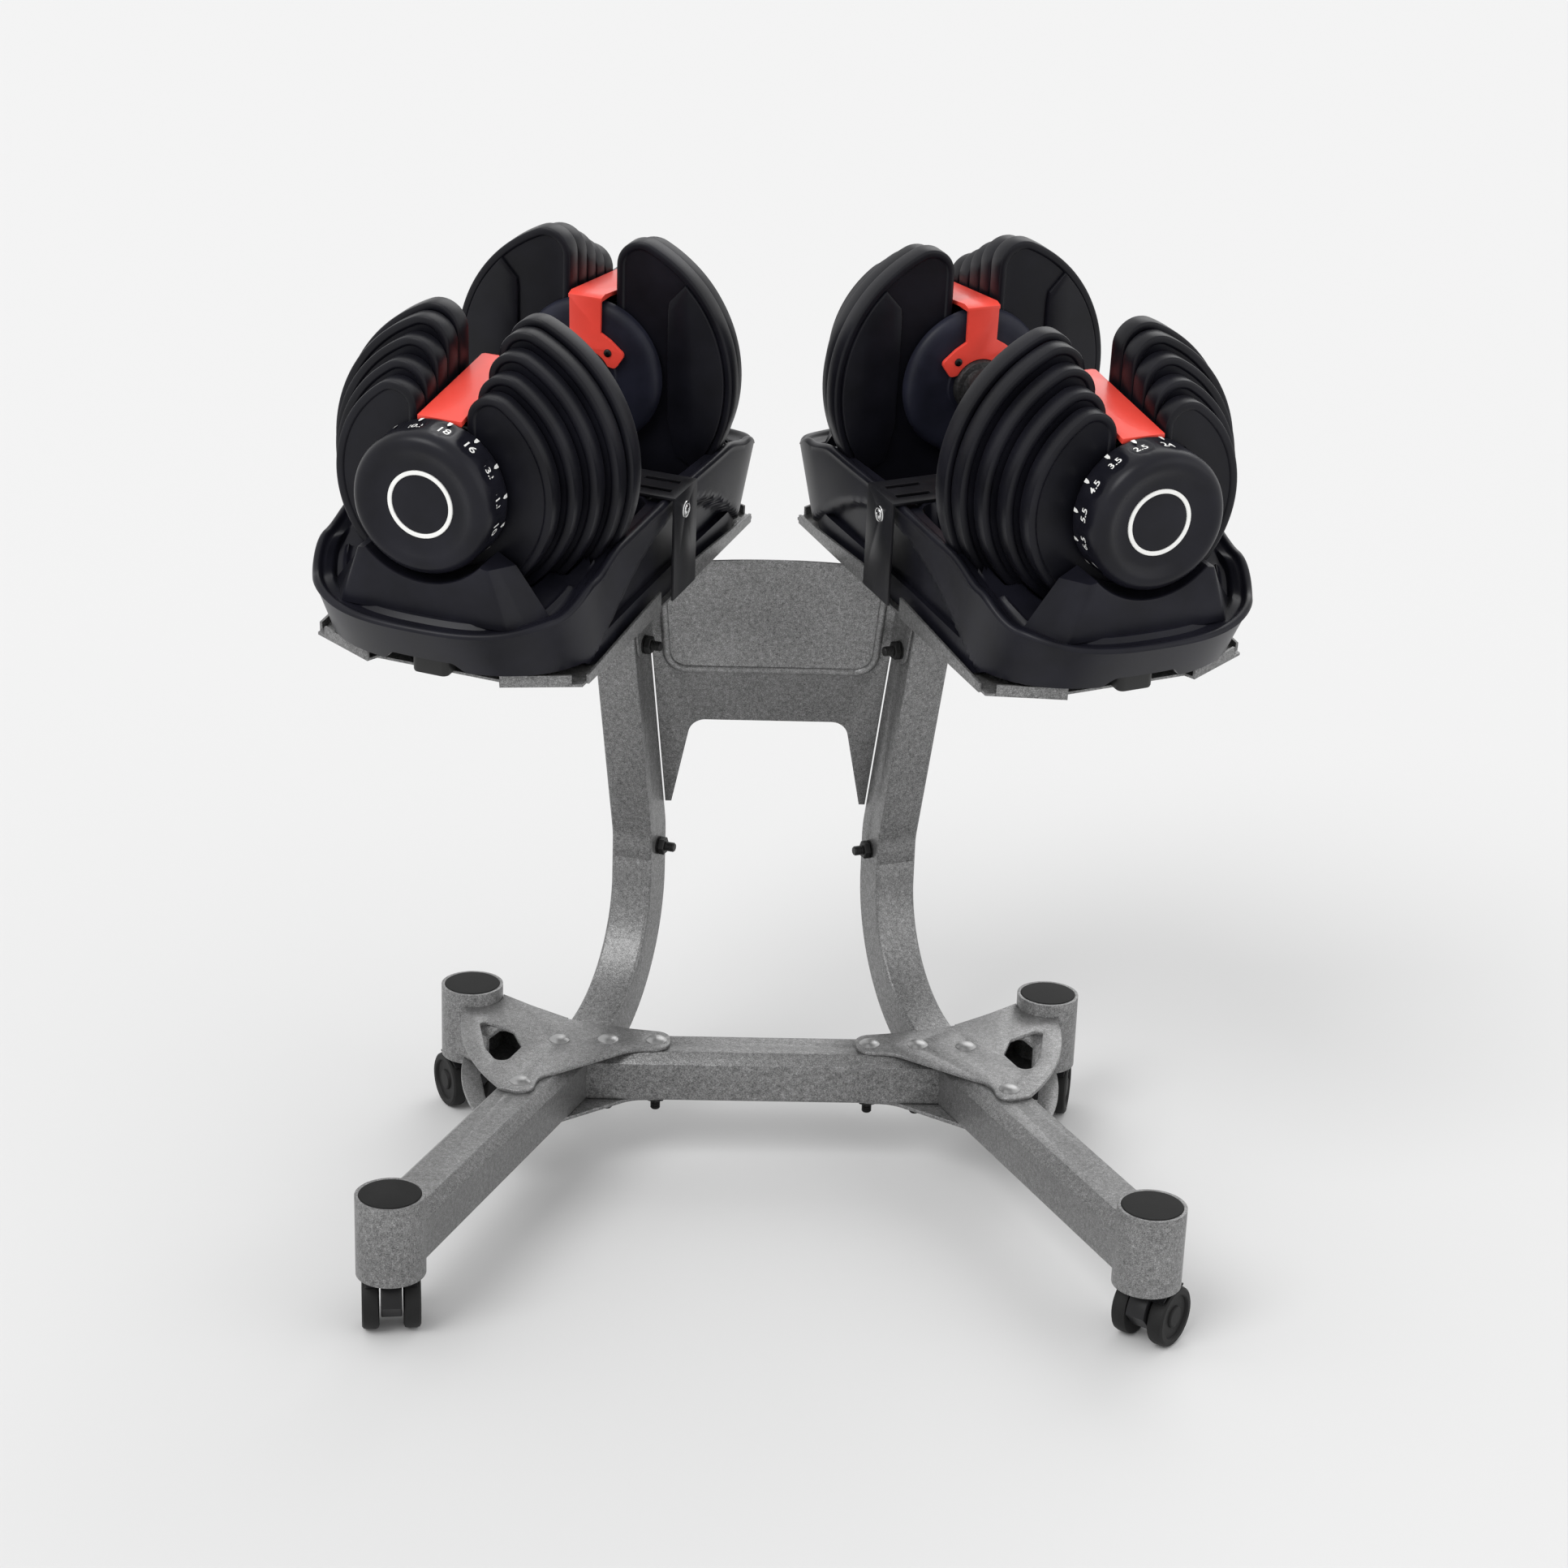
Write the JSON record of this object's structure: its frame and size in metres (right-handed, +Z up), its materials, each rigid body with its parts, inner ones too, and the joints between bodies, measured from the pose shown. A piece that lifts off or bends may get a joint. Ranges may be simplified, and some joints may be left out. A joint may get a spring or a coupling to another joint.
{
  "type": "adjustable dumbbell",
  "caption": "Dial-adjustable dumbbells docked in moulded cradles on a rolling steel stand; each lifts out, dials turn to select plates, casters swivel and roll.",
  "frame": {"origin": "centre of the footprint at floor level", "axes": "+Z up, the front of the stand faces -Y, +X to the right seen from the front"},
  "size_m": [0.6784, 0.5476, 0.7409],
  "materials": {
    "stand_paint": "hammered silver-grey",
    "caster_plastic": "satin",
    "caster_wheel": "matt",
    "dark_steel": "blackened",
    "bridge_red": "satin",
    "flange_polymer": "satin",
    "plate_coating": "polymer-coated, satin",
    "dial_plastic": "satin, white markings",
    "grip_rubber": "textured",
    "bright_steel": "bright",
    "cradle_plastic": "satin moulded",
    "strap_paint": "satin black",
    "fastener_zinc": "silver heads, black nuts",
    "cap_plastic": "satin"
  },
  "bodies": {
    "stand": {"back_panel": "stand_paint", "bottom_gusset_left": "stand_paint", "bottom_gusset_right": "stand_paint", "column_lower_left": "stand_paint", "column_lower_right": "stand_paint", "column_upper_left": "stand_paint", "column_upper_right": "stand_paint", "cradle_left": "cradle_plastic", "cradle_right": "cradle_plastic", "crossbeam": "stand_paint", "frame_fasteners": "fastener_zinc", "front_leg_left": "stand_paint", "front_leg_right": "stand_paint", "lock_strap_left": "strap_paint", "lock_strap_right": "strap_paint", "parked_plates_left": "plate_coating", "rear_leg_left": "stand_paint", "rear_leg_right": "stand_paint", "sleeve_caps": "cap_plastic", "strap_screws": "bright_steel", "top_gusset_left": "stand_paint", "top_gusset_right": "stand_paint", "tray_left": "stand_paint", "tray_right": "stand_paint"},
    "dumbbell_left": {"bridge_screws_left": "dark_steel", "core_rod_left": "dark_steel", "far_bridge_left": "bridge_red", "far_flange_left": "flange_polymer", "far_plates_left": "plate_coating", "grip_left": "grip_rubber", "near_bridge_left": "bridge_red", "near_flange_left": "flange_polymer", "near_plates_left": "plate_coating"},
    "lock_pins_left": {"lock_pins_left": "bright_steel"},
    "near_dial_set_left": {"near_dial_left": "dial_plastic", "near_selector_left": "dark_steel"},
    "far_dial_set_left": {"far_dial_left": "dial_plastic", "far_selector_left": "dark_steel"},
    "dumbbell_right": {"bridge_screws_right": "dark_steel", "core_rod_right": "dark_steel", "far_bridge_right": "bridge_red", "far_flange_right": "flange_polymer", "far_plates_right": "plate_coating", "grip_right": "grip_rubber", "near_bridge_right": "bridge_red", "near_flange_right": "flange_polymer", "near_plates_right": "plate_coating"},
    "lock_pins_right": {"lock_pins_right": "bright_steel"},
    "near_dial_set_right": {"near_dial_right": "dial_plastic", "near_selector_right": "dark_steel"},
    "far_dial_set_right": {"far_dial_right": "dial_plastic", "far_selector_right": "dark_steel"},
    "caster_fl": {"caster_housing_fl": "caster_plastic"},
    "wheels_fl": {"caster_wheels_fl": "caster_wheel"},
    "caster_fr": {"caster_housing_fr": "caster_plastic"},
    "wheels_fr": {"caster_wheels_fr": "caster_wheel"},
    "caster_rl": {"caster_housing_rl": "caster_plastic"},
    "wheels_rl": {"caster_wheels_rl": "caster_wheel"},
    "caster_rr": {"caster_housing_rr": "caster_plastic"},
    "wheels_rr": {"caster_wheels_rr": "caster_wheel"}
  },
  "joints": [
    {"name": "lift_left", "type": "slide", "parent": "stand", "child": "dumbbell_left", "axis": [0, -0.1392, 0.9903], "range_m": [0, 0.25]},
    {"name": "lock_left", "type": "slide", "parent": "dumbbell_left", "child": "lock_pins_left", "axis": [0, 0.1392, -0.9903], "range_m": [0, 0.006]},
    {"name": "near_dial_turn_left", "type": "hinge", "parent": "dumbbell_left", "child": "near_dial_set_left", "pos_m": [-0.2505, -0.14254, 0.59468], "axis": [-0.3697, -0.9201, -0.1293], "continuous": true},
    {"name": "far_dial_turn_left", "type": "hinge", "parent": "dumbbell_left", "child": "far_dial_set_left", "pos_m": [-0.1063, 0.21629, 0.64512], "axis": [0.3697, 0.9201, 0.1293], "continuous": true},
    {"name": "lift_right", "type": "slide", "parent": "stand", "child": "dumbbell_right", "axis": [0, -0.1392, 0.9903], "range_m": [0, 0.25]},
    {"name": "lock_right", "type": "slide", "parent": "dumbbell_right", "child": "lock_pins_right", "axis": [0, 0.1392, -0.9903], "range_m": [0, 0.006]},
    {"name": "near_dial_turn_right", "type": "hinge", "parent": "dumbbell_right", "child": "near_dial_set_right", "pos_m": [0.2505, -0.14254, 0.59468], "axis": [0.3697, -0.9201, -0.1293], "continuous": true},
    {"name": "far_dial_turn_right", "type": "hinge", "parent": "dumbbell_right", "child": "far_dial_set_right", "pos_m": [0.1063, 0.21629, 0.64512], "axis": [-0.3697, 0.9201, 0.1293], "continuous": true},
    {"name": "swivel_fl", "type": "hinge", "parent": "stand", "child": "caster_fl", "pos_m": [-0.273, -0.24843, 0.08], "axis": [0, 0, 1], "continuous": true},
    {"name": "roll_fl", "type": "hinge", "parent": "caster_fl", "child": "wheels_fl", "pos_m": [-0.27415, -0.23749, 0.023], "axis": [0.9945, 0.1045, 0], "continuous": true},
    {"name": "swivel_fr", "type": "hinge", "parent": "stand", "child": "caster_fr", "pos_m": [0.273, -0.24843, 0.08], "axis": [0, 0, 1], "continuous": true},
    {"name": "roll_fr", "type": "hinge", "parent": "caster_fr", "child": "wheels_fr", "pos_m": [0.27977, -0.23976, 0.023], "axis": [0.788, -0.6157, 0], "continuous": true},
    {"name": "swivel_rl", "type": "hinge", "parent": "stand", "child": "caster_rl", "pos_m": [-0.2395, 0.12557, 0.08], "axis": [0, 0, 1], "continuous": true},
    {"name": "roll_rl", "type": "hinge", "parent": "caster_rl", "child": "wheels_rl", "pos_m": [-0.24466, 0.13529, 0.023], "axis": [0.8829, 0.4695, 0], "continuous": true},
    {"name": "swivel_rr", "type": "hinge", "parent": "stand", "child": "caster_rr", "pos_m": [0.2395, 0.12557, 0.08], "axis": [0, 0, 1], "continuous": true},
    {"name": "roll_rr", "type": "hinge", "parent": "caster_rr", "child": "wheels_rr", "pos_m": [0.24216, 0.13625, 0.023], "axis": [0.9703, -0.2419, 0], "continuous": true}
  ],
  "couplings": [
    {"joint": "lock_left", "follows": "lift_left", "ratio": 0.024},
    {"joint": "lock_right", "follows": "lift_right", "ratio": 0.024}
  ]
}
